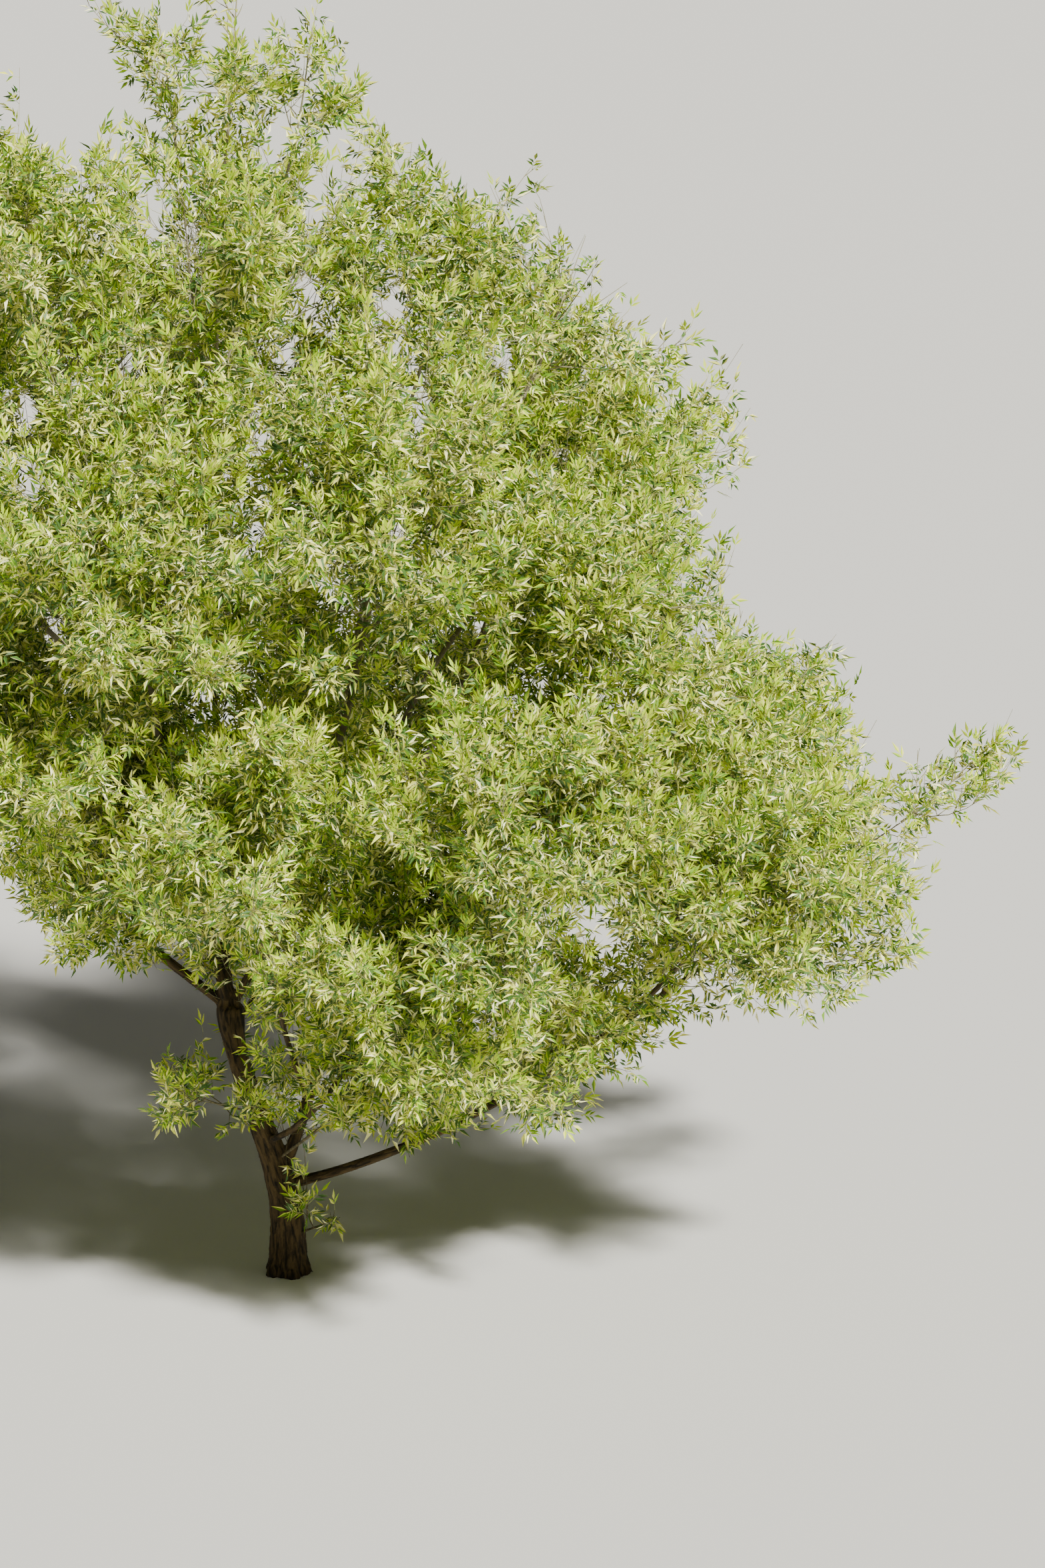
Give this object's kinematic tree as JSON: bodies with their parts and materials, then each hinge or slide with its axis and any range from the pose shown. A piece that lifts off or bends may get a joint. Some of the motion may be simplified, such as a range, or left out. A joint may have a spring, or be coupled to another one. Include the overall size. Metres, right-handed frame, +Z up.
{
  "type": "box elder tree",
  "caption": "Small open-grown box elder with cream-edged leaves: a leaning trunk that forks low, spreading boughs and a full, feathery crown.",
  "frame": {"origin": "middle of the flat cut under the trunk, at ground level", "axes": "+X to the right of the picture, +Y away from its viewer, +Z up the trunk"},
  "size_m": [6.0591, 4.3114, 6.1226],
  "materials": {
    "bark": "rough, furrowed",
    "foliage": "satin"
  },
  "bodies": {
    "root": {"bough_back": "bark", "bough_centre_left": "bark", "bough_centre_right": "bark", "bough_crown_back": "bark", "bough_crown_front": "bark", "bough_front": "bark", "bough_front_high": "bark", "bough_inner": "bark", "bough_leader": "bark", "bough_left": "bark", "bough_left_back": "bark", "bough_left_front": "bark", "bough_left_shoulder": "bark", "bough_low_left_back": "bark", "bough_low_left_front": "bark", "bough_low_right": "bark", "bough_low_skirt": "bark", "bough_middle_back": "bark", "bough_middle_front": "bark", "bough_middle_shoulder": "bark", "bough_right": "bark", "bough_right_back": "bark", "bough_right_front": "bark", "bough_right_upper": "bark", "bough_top": "bark", "bough_top_right": "bark", "bough_upper_front": "bark", "bough_upper_right": "bark", "foliage_back": "foliage", "foliage_centre_left": "foliage", "foliage_centre_right": "foliage", "foliage_crown_back": "foliage", "foliage_crown_front": "foliage", "foliage_foot_shoot": "foliage", "foliage_front": "foliage", "foliage_front_high": "foliage", "foliage_inner": "foliage", "foliage_leader": "foliage", "foliage_left": "foliage", "foliage_left_back": "foliage", "foliage_left_front": "foliage", "foliage_left_shoulder": "foliage", "foliage_low_left_back": "foliage", "foliage_low_left_front": "foliage", "foliage_low_right": "foliage", "foliage_low_skirt": "foliage", "foliage_middle_back": "foliage", "foliage_middle_front": "foliage", "foliage_middle_shoulder": "foliage", "foliage_right": "foliage", "foliage_right_back": "foliage", "foliage_right_front": "foliage", "foliage_right_upper": "foliage", "foliage_top": "foliage", "foliage_top_right": "foliage", "foliage_trunk_skirt": "foliage", "foliage_trunk_tuft": "foliage", "foliage_upper_front": "foliage", "foliage_upper_right": "foliage", "trunk": "bark"}
  },
  "joints": []
}
